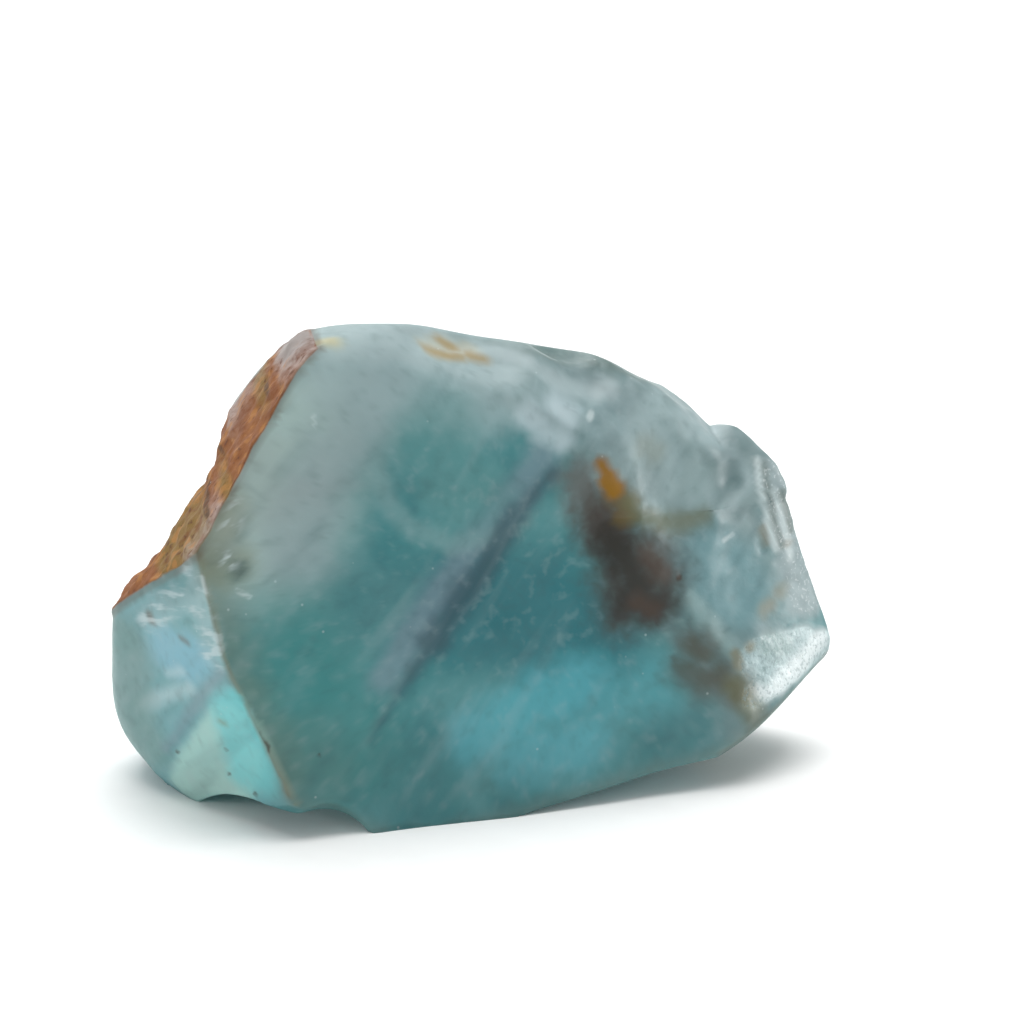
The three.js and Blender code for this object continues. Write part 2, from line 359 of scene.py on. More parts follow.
FACE_MARKS = {
    "lobe": {"faces": LOBE_FACES, "colour": "#7cb8bd", "strength": 1.0, "fade": 0.1},
    "broken surfaces": {"faces": BROKEN_FACES, "colour": "#86999a", "strength": 0.9, "fade": 1.6},
    "flank": {"front": [(1.0, [(18.4, 17), (19.1, 14), (19.7, 12), (20.3, 9.9)])],
              "colour": "#a3b4b6", "strength": 0.85, "fade": 0.9},
    "knob": {"faces": ("knob",), "grow": 0.3, "colour": "#748486", "strength": 0.8, "fade": 0.6},
    "end facet": {"front": [(1.1, [(16.9, 7.2), (19.4, 6.9)]),
                            (0.7, [(16.6, 5.2), (18.8, 5.9), (20.8, 6.6)])],
                  "colour": "#b3c8c9", "strength": 0.95, "fade": 0.4},
    "under the end": {"faces": ("under the end",), "colour": "#6e7f78", "strength": 0.8, "fade": 0.2},
    "plateau": {"faces": ("plateau",), "colour": "#84908f", "strength": 0.9, "fade": 1.2},
    "dark back facet": {"faces": ("dark shoulder",), "grow": -0.2,
                        "colour": "#637772", "strength": 0.85, "fade": 0.7},
    "rim": {"faces": RIM_FACES, "colour": "#8f8988", "strength": 0.9, "fade": 1.2},
}

CLOUD_LIGHT_AND_SHADE_MARKS = {
    # the large cleavage face
    "pale upper left": {"front": [(1.8, [(-12.4, 18.6), (-11.8, 21), (-10, 24.5)])],
                        "colour": "#bccec8", "strength": 0.85, "fade": 6.2},
    "lilac haze": {"front": [(0.6, [(-5.5, 26), (-7, 23), (-9.3, 20), (-10, 16.5)])],
                   "colour": "#93a2a8", "strength": 0.55, "fade": 2.8},
    "pale head": {"front": [(1.0, [(-7.5, 27), (-3, 25.5), (1, 24.5)])],
                  "colour": "#a9bdbf", "strength": 0.75, "fade": 2.8},
    "deep lower left": {"front": [(1.2, [(-10, 10.5), (-9, 8), (-8, 5.5)])],
                        "colour": "#3f8f8c", "strength": 0.65, "fade": 4.8},
    "deep middle": {"front": [(0.8, [(-6, 13.5), (-4, 13), (-1.5, 13)])],
                    "colour": "#477b80", "strength": 0.5, "fade": 3.0},
    "olive by the sharp edge": {"front": [(0.0, [(-15, 16), (-14, 12.5), (-12.8, 8.5), (-11, 3.5)])],
                                "within": CLEAVAGE, "colour": "#7b8069", "strength": 0.45, "fade": 2.3},
    "olive foot": {"front": [(0.6, [(-9.5, 6), (-8.5, 3)])],
                   "colour": "#6f8a82", "strength": 0.25, "fade": 2.0},
    "bright depth": {"front": [(1.8, [(0.5, 12.5), (3.5, 11.5), (6.5, 9)])],
                     "colour": "#26707a", "strength": 0.75, "fade": 3.5},
    # pale clouds, brightened with painted light from below
    "pale clouds": {"front": [(0.6, [(0.5, 5), (4, 6.5), (6, 7.2)]), (0.5, [(3, 3.6), (6.5, 3.8)])],
                    "colour": "#62bcc8", "strength": 0.75, "fade": 2.4},
    "dim low right": {"front": [(0.4, [(11.4, 3.9), (13, 4.2)])],
                      "colour": "#44777d", "strength": 0.4, "fade": 2.0},
    # painted light from below on the lower right of the face
    "pale low right": {"front": [(0.5, [(9, 6.4), (11.2, 6.8)])],
                       "colour": "#5fb2bb", "strength": 0.6, "fade": 2.4},
    "lilac band": {"front": [(0.3, [(4, 20.3), (2, 18), (0.2, 16), (-1.8, 13.4), (-5, 9)])],
                   "colour": "#8e9baa", "strength": 0.5, "fade": 1.4},
    "crescent": {"front": [(0.1, [(-5.4, 21), (-5, 19), (-3.6, 17.4), (-1.3, 16), (1.1, 16.2)]),
                           (-0.2, [(1.1, 16.2), (3.2, 17)])],
                 "colour": "#8fb2b2", "strength": 0.5, "fade": 0.9},
    "crescent heart": {"front": [(1.0, [(-2, 22.5), (-1.4, 20), (0, 18.6)])],
                       "colour": "#669d9c", "strength": 0.5, "fade": 2.4},
    # the lobe
    "lobe swirl": {"front": [(0.3, [(-17.4, 13.7), (-16.4, 14.8), (-15.6, 15.8)])], "within": LOBE_FACES,
                   "colour": "#4f9296", "strength": 0.7, "fade": 0.9},
    "lobe core": {"front": [(0.6, [(-17.6, 9.9), (-16.4, 9.9)])], "within": LOBE_FACES,
                  "colour": "#8fcfe3", "strength": 0.8, "fade": 1.8},
    # painted light: a pale glow inside the lobe
    "lobe glow": {"front": [(0.0, [(-19.4, 5.6), (-18.3, 6.6), (-17.3, 7.3), (-16.4, 7.9)]),
                            (-0.2, [(-17.8, 8.3), (-16.9, 8.8)])], "within": LOBE_FACES,
                  "colour": "#def4f8", "strength": 0.52, "fade": 0.8},
    "lobe left": {"front": [(1.0, [(-20.9, 9), (-20.8, 5), (-19.6, 3)])], "within": LOBE_FACES,
                  "colour": "#7ba39d", "strength": 0.7, "fade": 1.8},
    "lobe band": {"front": [(-0.05, [(-14.4, 10), (-15.4, 8.3), (-16.4, 6.5), (-17.3, 4.6), (-18, 3.4)])],
                  "within": LOBE_FACES, "colour": "#7f9aa6", "strength": 0.65, "fade": 0.7},
    # painted light from below on the lobe's lower part
    "warm wedge": {"front": [(0.9, [(-14, 6.6), (-15, 4.8), (-16.1, 2.8), (-16.6, 1.2)]),
                             (1.4, [(-13.8, 4.4), (-14.4, 2.3)])],
                   "within": LOBE_FACES, "colour": "#c6f0e6", "strength": 0.9, "fade": 0.7},
    # painted teal light from below, beside the sharp edge
    "teal wedge": {"front": [(0.8, [(-13.6, 7.6), (-13.2, 5.4), (-12.8, 3.6)])], "within": LOBE_FACES,
                   "colour": "#84eaec", "strength": 0.8, "fade": 1.3},
    "crackle": {"front": [(0.3, [(-18.9, 11.4), (-17.7, 12.9), (-16.8, 13.6), (-15.9, 13.8),
                                 (-15.2, 12.8), (-14.9, 10.8)]),
                          (0.1, [(-16, 15.6), (-15.5, 14.4)]),
                          (0.0, [(-13.4, 19.4), (-14, 18), (-13.9, 16.4)])],
                "colour": "#d8ecef", "strength": 0.25, "fade": 0.8},
    # the broken end
    "brow veil": {"front": [(0.7, [(5, 23.2), (7.5, 22), (8.8, 21.4)]),
                            (0.3, [(8.8, 21.6), (11, 20.6), (11.6, 19.4)])],
                  "colour": "#93a9ad", "strength": 0.45, "fade": 1.6},
    # painted highlights along the slope's ridges and shell rims
    "slope highlights": {"front": [(0.05, [(12.5, 21.2), (13.3, 20.3), (14.3, 19.4), (15, 18.6)]),
                                (0.0, [(11.4, 19.6), (11.8, 18.5), (11.4, 17.6)]),
                                (0.0, [(15.9, 17.9), (16.3, 17.2), (15.9, 16.6), (15, 16)])],
                      "colour": "#bccfd2", "strength": 0.5, "fade": 0.9},
    "slope glow": {"front": [(0.9, [(10.6, 20.2), (11.2, 18.6)]), (0.5, [(12.6, 18.2), (13.4, 17.4)])],
                   "colour": "#abc1c2", "strength": 0.65, "fade": 2.0},
    "slope shade": {"front": [(0.3, [(14.6, 18.2), (15.3, 17.4)]), (0.0, [(9.8, 18.4), (10.4, 17.6)])],
                    "colour": "#687f80", "strength": 0.5, "fade": 1.2},
    "white blotch": {"front": [(0.1, [(3.2, 22.8), (4.2, 21.9), (5.2, 21.3)]),
                               (0.0, [(4.6, 23.2), (5.6, 22.2)])],
                     "colour": "#ccdce1", "strength": 0.75, "fade": 1.1},
    "lighter blue": {"front": [(0.9, [(13.4, 13.3), (15.2, 12.3), (16, 10.6), (14.2, 11.4)])],
                     "colour": "#78a9b0", "strength": 0.65, "fade": 1.8},
    "end shade": {"front": [(0.5, [(11.8, 11.4), (13.4, 9.4), (14.6, 8)])],
                  "colour": "#5f7f80", "strength": 0.7, "fade": 1.2},
    "pale strip": {"front": [(0.1, [(12.8, 11.3), (14.3, 9.3), (15.5, 8)])],
                   "colour": "#a9c3c2", "strength": 0.5, "fade": 0.7},
    "end streak": {"front": [(0.25, [(18.2, 5.4), (19.6, 6.1), (20.6, 6.9)]),
                             (0.1, [(16.6, 5.4), (17.6, 5.2)])],
                   "colour": "#f2fafa", "strength": 0.8, "fade": 0.7},
    "end dusk": {"front": [(0.1, [(15.6, 6), (16.4, 4.6)]), (0.2, [(17.4, 8), (18.4, 7.4)])],
                 "colour": "#93aaa6", "strength": 0.6, "fade": 0.8},
    "flute light": {"front": [(0.02, [(16.9, 18.1), (17.1, 16.4), (17.6, 14.4), (18.1, 12.8)]),
                              (0.04, [(17.9, 16.2), (18.5, 14.2), (19, 12.1)])],
                    "colour": "#dbe8e8", "strength": 0.8, "fade": 0.36},
    "flute shade": {"front": [(0.0, [(17.3, 17.8), (17.5, 16.2), (18, 14.2), (18.4, 12.9)]),
                              (0.0, [(18.4, 16), (19, 13.6)])],
                    "colour": "#66746d", "strength": 0.75, "fade": 0.36},
    # the top
    "arc ridge": {"top": [(0.1, [(-2.4, -1.7), (1.6, 0), (4, -0.6), (6.3, 0.5), (8, 1.5)])],
                  "colour": "#b9c9cb", "strength": 0.6, "fade": 0.7},
    # the back
    "back haze": {"back": [(2.5, [(-10, 24), (-2, 23), (6, 20.5)]), (0.5, [(14, 18), (17, 13)])],
                  "colour": "#a9b9b8", "strength": 0.7, "fade": 6.5},
    "back depth": {"back": [(1.5, [(-13, 9), (-7, 6)]), (1.0, [(4, 10), (10, 6)])],
                   "colour": "#35757b", "strength": 0.6, "fade": 5.5},
    "back pale clouds": {"back": [(0.8, [(-4, 9), (-1, 11)]), (0.6, [(-16, 14), (-14, 11)]),
                                  (0.5, [(11, 12), (13, 9)])],
                         "colour": "#93b5b6", "strength": 0.5, "fade": 3.5},
    "back vein": {"back": [(0.2, [(3, 18.5), (0.5, 15), (-2.2, 10.6)]),
                           (-0.3, [(-2.2, 10.6), (-5.4, 5.6)])],
                  "colour": "#4d6c79", "strength": 0.6, "fade": 1.5},
    "back cloud": {"back": [(0.4, [(8.6, 15.8), (9.8, 13), (10.4, 11.4)])],
                   "colour": "#5d5a4e", "strength": 0.6, "fade": 3.0},
    # the speckles beside the crust and the dark vein
    "speckle zone": {"front": [(0.5, [(-14.2, 19.4), (-14.6, 17.8), (-14.4, 16.4), (-13.6, 16.2)])],
                     "colour": "#8a8d72", "strength": 0.6, "fade": 1.5},
    "vein": {"front": [(0.2, [(2.4, 17.1), (1.1, 15.2), (-0.7, 12.8), (-2.2, 10.6)]),
                       (-0.25, [(4.6, 19.6), (2.4, 17.1)]), (-0.3, [(-2.2, 10.6), (-4.2, 8)]),
                       (-0.6, [(-4.2, 8), (-5.8, 5.4)])],
             "colour": "#38535f", "strength": 0.8, "fade": 1.2},
}

STAIN_AND_SHADE_MARKS = {
    "brown halo": {"front": [(0.1, [(6.2, 19), (6.7, 17.6), (7.5, 16.2)])],
                   "colour": "#6e5d56", "strength": 0.7, "fade": 2.0},
    "brown cloud": {"front": [(0.25, [(7.7, 16.6), (8.8, 14.4), (9.8, 12.8), (10.5, 11.6)]),
                              (0.0, [(8.4, 13.4), (8.8, 11.2)]), (0.0, [(9.8, 14.6), (11.2, 12.8)])],
                    "colour": "#49382f", "strength": 0.85, "fade": 2.7},
    "brown heart": {"front": [(0.15, [(7.9, 15.6), (8.8, 14), (9.8, 12.2)]),
                              (0.2, [(9.2, 11.9), (10.5, 11.3)])],
                    "colour": "#2a2019", "strength": 0.88, "fade": 2.0},
    "red brown flecks": {"front": [(0.1, [(10.3, 14.3), (11, 13.2)]), (0.0, [(9.6, 11.6), (10.6, 11)])],
                         "colour": "#66402c", "strength": 0.32, "fade": 1.0},
    "brown patch": {"front": [(0.0, [(12.8, 8.6), (13.6, 8)]), (0.0, [(14.6, 6.5), (15.6, 5.9)]),
                              (0.1, [(12.4, 7.4), (13.6, 6.6), (14.6, 6.5)])],
                    "colour": "#54432f", "strength": 0.75, "fade": 1.8},
    "ochre ridge": {"front": [(0.3, [(15.5, 6), (16.1, 5.1), (16.6, 4.3)])],
                    "colour": "#74704e", "strength": 0.6, "fade": 0.9},
    "yellow fringe": {"front": [(0.15, [(8.3, 18.1), (8.9, 17.2), (8.9, 16.7)])],
                      "colour": "#6e5527", "strength": 0.8, "fade": 1.0},
    "foot line": {"between": (CLEAVAGE, BOTTOM_FACES),
                  "colour": "#7f8a80", "strength": 0.35, "fade": 1.1},
    "lobe ochre": {"front": [(0.0, [(-14.6, 6.5), (-14.3, 6.4)])], "within": LOBE_FACES,
                   "colour": "#8d8a52", "strength": 0.5, "fade": 0.4},
    "lobe flecks": {"front": [(0.0, [(-18.8, 11.7), (-18.7, 11.4)]),
                              (-0.1, [(-16.8, 11.1), (-16.5, 11)])],
                    "within": LOBE_FACES, "colour": "#6a5644", "strength": 0.7, "fade": 0.5},
    "shelf stain": {"front": [(0.0, [(9.2, 17.4), (9.8, 16.5), (11, 15.9), (12.2, 15.6), (13.4, 15.6)])],
                    "colour": "#74734f", "strength": 0.6, "fade": 1.0},
    "side tan": {"front": [(0.0, [(17.3, 9.8), (17.7, 9.9)]), (0.0, [(18.3, 10.4)])],
                 "colour": "#b0966f", "strength": 0.42, "fade": 0.8},
    "yellow patch": {"top": [(0.1, [(-9.2, -5.1), (-8.1, -4.9)])],
                     "colour": "#cfc28c", "strength": 0.65, "fade": 0.9},
    "cream patch": {"top": [(0.1, [(-2.4, -1.9), (-1.4, -0.7)]), (0.1, [(-1.8, -1.7), (-0.3, -0.5)])],
                    "colour": "#c6c5b0", "strength": 0.6, "fade": 1.2},
    "tan patch": {"top": [(0.0, [(-2.6, -2.2), (-1.8, -1.9), (-0.8, -1.5)]),
                          (0.0, [(-1.9, -0.6), (-1.2, -0.8)]), (0.0, [(-0.2, -1.1), (0.6, -1)])],
                  "colour": "#a68a50", "strength": 0.75, "fade": 0.8},
    "rust veil": {"front": [(0.1, [(10, 20.2), (10.8, 19.6)])],
                  "colour": "#87866a", "strength": 0.3, "fade": 1.0},
    # painted shade along the lower edge of the end facet
    "end rim": {"between": (("end facet",), ("under the end",)),
                "colour": "#58675a", "strength": 0.8, "fade": 0.55},
    "end chip stain": {"front": [(0.1, [(15.5, 7.8), (15.7, 7.1)]), (0.1, [(16.4, 8)])],
                       "colour": "#8a8064", "strength": 0.7, "fade": 0.4},
    "flute brown": {"front": [(0.0, [(17.2, 14.2), (17.4, 13.3)]), (0.0, [(18.8, 12.9)])],
                    "colour": "#8a7a5c", "strength": 0.5, "fade": 0.45},
    "dark spot": {"front": [(0.15, [(-13.3, 15.9)])], "colour": "#3f5a58", "strength": 0.7, "fade": 0.8},
    "sharp edge": {"between": (CLEAVAGE, LOBE_FACES), "colour": "#968f70", "strength": 0.6, "fade": 0.3},
    "crust shadow": {"faces": CRUST_FACES, "grow": 0.25,
                     "colour": "#5f4a35", "strength": 0.55, "fade": 0.3},
}

CRISP_MARKS = {
    "orange inclusion": {"front": [(0.0, [(7.5, 19.7), (7.9, 19)]), (0.2, [(7.9, 18.8), (8.3, 18.2)])],
                         "colour": "#a06a06", "strength": 0.95, "fade": 0.7},
    "crust": {"faces": CRUST_FACES, "colour": "#784820", "strength": 1.0, "fade": 0.15},
    "crust gold": {"front": [(0.4, [(-15.4, 18), (-16.4, 16.9), (-17.8, 15.3)]), (0.15, [(-12.4, 24.7)]),
                             (0.05, [(-14.1, 20.4)])], "within": CRUST_FACES,
                   "colour": "#6f5e2c", "strength": 0.7, "fade": 0.9},
    "crust rim": {"front": [(0.35, [(-9.2, 28.4), (-10.4, 27.7), (-11.3, 26.8)]),
                            (-0.35, [(-11.3, 26.8), (-12.3, 25.6), (-13, 24.5), (-13.6, 23.4),
                                     (-14.2, 22.2)]),
                            (-0.4, [(-14.4, 19.6), (-15, 18.4), (-15.6, 17.3), (-16.2, 16.5)])],
                  "within": CRUST_FACES + RIM_FACES, "colour": "#9a9390", "strength": 0.88, "fade": 1.0},
    "dark specks": {"front": [(0.08, [(12.1, 12.6)]), (0.08, [(-8.9, 4.9)]), (0.05, [(-14.3, 4.6)]),
                              (0.05, [(-14.2, 2.9)]), (0.06, [(-12.6, 2.1)]), (0.05, [(-17.3, 3.4)]),
                              (0.04, [(-12.1, 6.6), (-11.6, 5.4)]), (0.12, [(-11.8, 24.9)]),
                              (0.05, [(-10.9, 25.6)]), (0.1, [(-15.3, 19.3), (-15.2, 18.7)]),
                              (0.05, [(-20.2, 13)]), (0.05, [(-14.6, 21)])],
                    "colour": "#43301f", "strength": 0.8, "fade": 0.2},
    "white lines": {"front": [(0.0, [(-15.4, 15.7), (-15.2, 14.8)]), (0.1, [(6.8, 22.1)]),
                              (0.0, [(-13.5, 14.8), (-12.7, 14.3)]), (0.0, [(-9.1, 24.2), (-9, 23.5)]),
                              (0.0, [(14.8, 14.1), (15.3, 14.3)])],
                    "colour": "#edf5f5", "strength": 0.45, "fade": 0.25},
}
MARKS = {**FACE_MARKS, **CLOUD_LIGHT_AND_SHADE_MARKS, **STAIN_AND_SHADE_MARKS, **CRISP_MARKS}

# Each side: the two axes of its strokes, the way it faces, and how squarely a point must face it.
SIDES = {
    "front": ((0, 2), (0, -1, 0), -0.3),
    "back": ((0, 2), (0, 1, 0), 0.1),
    "top": ((0, 1), (0, 0, 1), 0.0),
}
# A mark ends soon past its own faces, and it is nowhere on surfaces that are turned away from it.
ENDS_PAST_FACES = 5
TURNED_AWAY = 50


def from_stroke(flat, line):
    """How far flat points are from a stroke's line."""
    ends = list(zip(line, line[1:])) or [(line[0], line[0])]
    return np.min([from_line(flat, start, end) for start, end in ends], axis=0)


def mark_distance(mark, points, heights, facing):
    """How many millimetres each point is outside a mark."""

    def highest(names):
        return np.max([heights[name] for name in names], axis=0)

    def beyond(names):
        return highest([name for name in heights if name not in names]) - highest(names)

    if "faces" in mark:
        return beyond(mark["faces"]) - mark.get("grow", 0)
    if "between" in mark:
        one, other = mark["between"]
        return np.abs(highest(one) - highest(other)) + np.maximum(beyond(one + other), 0)
    side = next(name for name in SIDES if name in mark)
    axes, toward, least = SIDES[side]
    flat = points[:, axes]
    distance = np.min([from_stroke(flat, line) - half for half, line in mark[side]], axis=0)
    if "within" in mark:
        distance = np.maximum(distance, ENDS_PAST_FACES * beyond(mark["within"]))
    return distance + TURNED_AWAY * (facing @ np.array(toward) < least)


def store_marks(mesh, move):
    """Keeps each mark's place on the mesh, as how many millimetres each point is outside it."""
    count = len(mesh.vertices)
    points, facing = np.zeros(count * 3), np.zeros(count * 3)
    mesh.vertices.foreach_get("co", points)
    mesh.vertices.foreach_get("normal", facing)
    points, facing = points.reshape(-1, 3) / MM, facing.reshape(-1, 3)
    in_tables = points + move
    heights = {name: in_tables @ normal - offset for name, (normal, offset) in PLANES.items()}
    for name, mark in MARKS.items():
        kept = mesh.attributes.new(name, "FLOAT", "POINT")
        kept.data.foreach_set("value", mark_distance(mark, points, heights, facing))


# ---- Node helper ---------------------------------------------------------


def add(tree, kind, inputs=(), out=0, **settings):
    """Adds a node, sets its properties, and sets or links its inputs, which are given in order or by
    name. Returns the output that is asked for."""
    made = tree.nodes.new(kind)
    for name, value in settings.items():
        setattr(made, name, value)
    for name, value in inputs.items() if isinstance(inputs, dict) else enumerate(inputs):
        if isinstance(value, bpy.types.NodeSocket):
            tree.links.new(value, made.inputs[name])
        else:
            made.inputs[name].default_value = value
    return made.outputs[out] if len(made.outputs) else None


# ---- Colour in layers ----------------------------------------------------
# Each noise: how wide its patches are in millimetres, its detail and its distortion.

NOISES = {
    "clouds": (5.0, 4.0, 0.6),
    "mist": (1.8, 5.0, 0.5),
    "flecks": (0.8, 4.0, 0.3),
    "veils": (2.4, 4.0, 2.0),
    "streaks": (1.8, 3.0, 0.2),
    "grain": (0.5, 2.0, 0.0),
    "etching": (0.22, 2.0, 0.0),
    "rust": (1.0, 3.0, 0.0),
    "feathers": (0.5, 2.0, 0.0),
}
# Noises with long patches: the direction across the patches, then the one along them, scaled down.
# The streaks are cleavage planes inside the crystal, which run along the vein.
DRAWN_OUT = {
    "streaks": ((0.81, 0.0, -0.59), (0.08, 0.0, 0.11)),
    "feathers": ((0.4, 0.0, -0.85), (0.3, 0.0, 0.14)),
}

# Each layer: its noise, the values between which it comes in, its strength and its colour.
BODY_COLOUR = "#468b8f"
BODY_LAYERS = (("clouds", 0.4, 0.62, 1.0, "#5c9a9d"), ("mist", 0.48, 0.72, 0.3, "#39777d"))
VEIL_LAYERS = (("veils", 0.5, 0.68, 0.22, "#b9c9cc"),)
CRYSTAL_LAYERS = (
    ("streaks", 0.52, 0.72, 0.16, "#b9cdd0"),
    ("streaks", 0.48, 0.3, 0.2, "#346169"),
    ("flecks", 0.52, 0.72, 0.16, "#bccfd0"),
    ("flecks", 0.48, 0.3, 0.2, "#3b5f62"),
)

# How far each noise shifts a mark's border, as a share of its fade, and the longest fade that counts.
SWAY = {"mist": 0.9, "flecks": 0.7, "grain": 0.5}
LONGEST_FADE = 2.0

SMOOTH = {"interpolation_type": "SMOOTHSTEP"}
TIMES = {"operation": "MULTIPLY"}
TIMES_PLUS = {"operation": "MULTIPLY_ADD"}


def linear(code):
    """A colour as linear light, from its sRGB hex code."""
    parts = [int(code[i : i + 2], 16) / 255 for i in (1, 3, 5)]
    return (*(c / 12.92 if c <= 0.04045 else ((c + 0.055) / 1.055) ** 2.4 for c in parts), 1.0)


def stored(tree, name):
    """A number kept on the mesh, in a shape tree or in a material."""
    if tree.bl_idname == "GeometryNodeTree":
        return add(tree, "GeometryNodeInputNamedAttribute", {"Name": name}, data_type="FLOAT")
    return add(tree, "ShaderNodeAttribute", out="Fac", attribute_name=name)


def inside(tree, name, fade):
    """1 on a mark, falling to 0 at the given distance outside it."""
    return add(tree, "ShaderNodeMapRange", (stored(tree, name), fade, 0.0, 0.0, 1.0), **SMOOTH)


def patterns(tree, in_mm, names):
    """The named noises, each about 0.5 in the middle of its range."""
    made = {}
    for name in names:
        size, detail, distortion = NOISES[name]
        at = in_mm
        if name in DRAWN_OUT:
            shares = [add(tree, "ShaderNodeVectorMath", (in_mm, way), "Value", operation="DOT_PRODUCT")
                      for way in DRAWN_OUT[name]]
            at = add(tree, "ShaderNodeCombineXYZ", shares)
        made[name] = add(tree, "ShaderNodeTexNoise", {"Vector": at, "Scale": 1 / size, "Detail": detail,
                         "Distortion": distortion})
    return made


def layered(tree, colour, values, layers, where=None):
    """Lays layers over a colour, everywhere or only as far as where allows."""
    for name, low, high, strength, code in layers:
        share = add(tree, "ShaderNodeMapRange", (values[name], low, high, 0.0, strength), **SMOOTH)
        if where is not None:
            share = add(tree, "ShaderNodeMath", (where, share), **TIMES)
        colour = add(tree, "ShaderNodeMix", {0: share, 6: colour, 7: linear(code)}, 2, data_type="RGBA")
    return colour


def painted(tree, colour, marks, values, noise):
    """Lays marks over a colour. The named noise shifts their borders."""
    wobble = add(tree, "ShaderNodeMath", (values[noise], 0.5), operation="SUBTRACT")
    for name, mark in marks.items():
        reach = SWAY[noise] * min(mark["fade"], LONGEST_FADE)
        moved = add(tree, "ShaderNodeMath", (wobble, reach, stored(tree, name)), **TIMES_PLUS)
        layer = (name, mark["fade"], 0.0, mark["strength"], mark["colour"])
        colour = layered(tree, colour, {name: moved}, [layer])
    return colour


# ---- Relief and soft colour ----------------------------------------------

RELIEF = {
    "Shell size": 4.5,
    "Shell height": 0.22,
    "Fold size": 3.2,
    "Fold height": 0.4,
    "Crust grain size": 1.4,
    "Crust grain height": 0.7,
    "Etching size": 0.6,
    "Etching height": 0.1,
    "Wave size": 5.0,
    "Wave height": 0.12,
}
# How softly the relief ends round each mark, and the heights over the floor where it comes in.
RELIEF_FADE = {"broken surfaces": 0.8, "crust": 0.4, "end facet": 0.4, "flank": 0.4}
FOOT_FADE = (0.05, 0.8)


def relief_height(tree, given, in_mm):
    """How far each point of the stone is raised, in metres."""

    def raised(kind, name, power=1.0, level=0.5):
        """A texture as wide as the named size, raised to a power and centred, times the named height."""
        scale = add(tree, "ShaderNodeMath", (1.0, given[name + " size"]), operation="DIVIDE")
        value = add(tree, kind, {"Vector": in_mm, "Scale": scale, "Detail": 1.0})
        value = add(tree, "ShaderNodeMath", (value, power), operation="POWER")
        value = add(tree, "ShaderNodeMath", (value, level), operation="SUBTRACT")
        return add(tree, "ShaderNodeMath", (value, given[name + " height"]), **TIMES)

    on = {name: inside(tree, name, fade) for name, fade in RELIEF_FADE.items()}
    folds = raised("ShaderNodeTexNoise", "Fold")
    shells = raised("ShaderNodeTexVoronoi", "Shell", 2.0, 0.3)
    shells = add(tree, "ShaderNodeMath", (folds, shells), operation="ADD")
    shells = add(tree, "ShaderNodeMath", (on["broken surfaces"], shells), **TIMES)
    crust = raised("ShaderNodeTexNoise", "Crust grain")
    crust = add(tree, "ShaderNodeMath", (crust, on["crust"]), **TIMES)
    frosted = add(tree, "ShaderNodeMath", (on["end facet"], on["flank"]), operation="ADD")
    etched = add(tree, "ShaderNodeMath", (raised("ShaderNodeTexNoise", "Etching"), frosted), **TIMES)
    wave = raised("ShaderNodeTexNoise", "Wave")
    coarse = add(tree, "ShaderNodeMath", (shells, crust), operation="ADD")
    fine = add(tree, "ShaderNodeMath", (etched, wave), operation="ADD")
    height = add(tree, "ShaderNodeMath", (coarse, fine), operation="ADD")
    above = add(tree, "ShaderNodeSeparateXYZ", (in_mm,), "Z")
    above = add(tree, "ShaderNodeMapRange", (above, *FOOT_FADE, 0.0, MM), **SMOOTH)
    return add(tree, "ShaderNodeMath", (height, above), **TIMES)


def soft_colour(tree, in_mm):
    """The colour of the crystal with its clouds and its stains, and the light and shade painted among
    them.
    """
    values = patterns(tree, in_mm, ("clouds", "mist", "flecks", "veils", "streaks"))
    colour = layered(tree, linear(BODY_COLOUR), values, BODY_LAYERS)
    colour = painted(tree, colour, FACE_MARKS, values, "mist")
    broken = inside(tree, "broken surfaces", RELIEF_FADE["broken surfaces"])
    colour = layered(tree, colour, values, VEIL_LAYERS, broken)
    colour = painted(tree, colour, CLOUD_LIGHT_AND_SHADE_MARKS, values, "mist")
    colour = layered(tree, colour, values, CRYSTAL_LAYERS)
    return painted(tree, colour, STAIN_AND_SHADE_MARKS, values, "flecks")


def relief_tree():
    """Raises the stone's fine relief: shells on its broken faces, grain on its crust, etching on its end
    facet and a soft wave elsewhere. It also keeps the soft colour on the mesh."""
    tree = bpy.data.node_groups.new("stone relief", "GeometryNodeTree")
    face = tree.interface
    face.new_socket("Stone", in_out="INPUT", socket_type="NodeSocketGeometry")
    for name in RELIEF:
        face.new_socket(name, in_out="INPUT", socket_type="NodeSocketFloat")
    face.new_socket("Finish", in_out="INPUT", socket_type="NodeSocketMaterial")
    face.new_socket("Stone", in_out="OUTPUT", socket_type="NodeSocketGeometry")
    given = tree.nodes.new("NodeGroupInput").outputs
    place = add(tree, "GeometryNodeInputPosition")
    in_mm = add(tree, "ShaderNodeVectorMath", {0: place, "Scale": 1 / MM}, operation="SCALE")
    normal = add(tree, "GeometryNodeInputNormal")
    height = relief_height(tree, given, in_mm)
    lift = add(tree, "ShaderNodeVectorMath", {0: normal, "Scale": height}, operation="SCALE")

    tinted = add(tree, "GeometryNodeStoreNamedAttribute", {"Geometry": given["Stone"], "Name": "tint",
                 "Value": soft_colour(tree, in_mm)}, data_type="FLOAT_COLOR", domain="POINT")
    moved = add(tree, "GeometryNodeSetPosition", {"Geometry": tinted, "Offset": lift})
    real = add(tree, "GeometryNodeRealizeInstances", (moved,))
    done = add(tree, "GeometryNodeSetMaterial", {"Geometry": real, "Material": given["Finish"]})
    add(tree, "NodeGroupOutput", (done,))
    return tree


